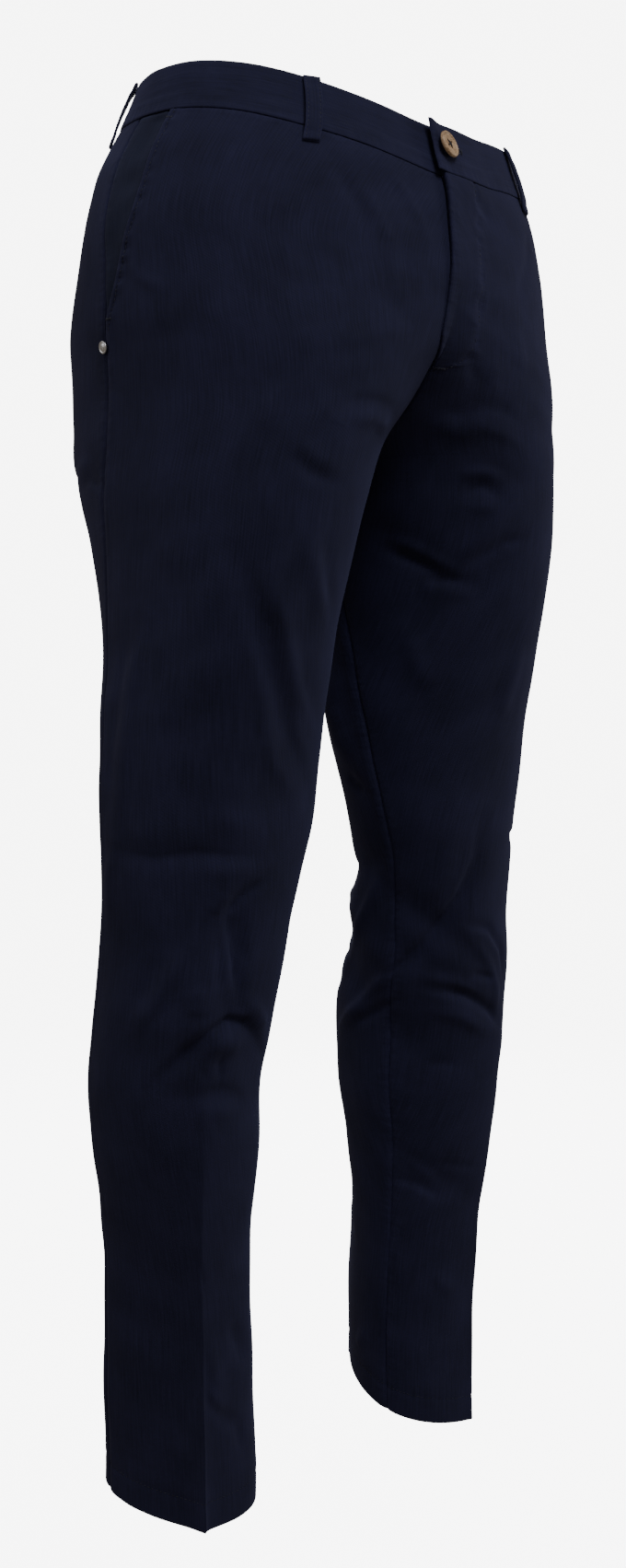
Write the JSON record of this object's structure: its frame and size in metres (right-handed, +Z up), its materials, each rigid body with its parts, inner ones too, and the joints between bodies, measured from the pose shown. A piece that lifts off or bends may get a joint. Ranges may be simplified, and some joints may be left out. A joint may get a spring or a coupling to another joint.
{
  "type": "chino trousers",
  "caption": "Slim chino trousers in navy twill, filled out as worn and hollow, with slanted front pockets, a lapped fly, a waistband with belt loops and open hems.",
  "frame": {"origin": "middle of the waistband's ring at half its width, where the wearer's waist holds the trousers", "axes": "+Z up the body, -Y to the wearer's front, +X to the wearer's left"},
  "size_m": [0.413, 0.2923, 1.0615],
  "materials": {
    "twill": "navy cotton twill, softly brushed, with a slight sheen",
    "pocket_cloth": "navy cotton twill facing",
    "zip_tape": "navy woven zip tape",
    "coconut": "polished coconut shell button",
    "pewter": "dull pewter rivet"
  },
  "bodies": {
    "root": {"front_right": "twill", "front_left": "twill", "back_right": "twill", "back_left": "twill", "waistband_right": "twill", "waistband_left": "twill", "belt_loop_front_right": "twill", "belt_loop_front_left": "twill", "belt_loop_hip_right": "twill", "belt_loop_hip_left": "twill", "belt_loop_back": "twill", "pocket_facing_right": "pocket_cloth", "pocket_facing_left": "pocket_cloth", "fly_shield": "pocket_cloth", "zip": "zip_tape", "button": "coconut", "rivet_right": "pewter", "rivet_left": "pewter"}
  },
  "joints": []
}
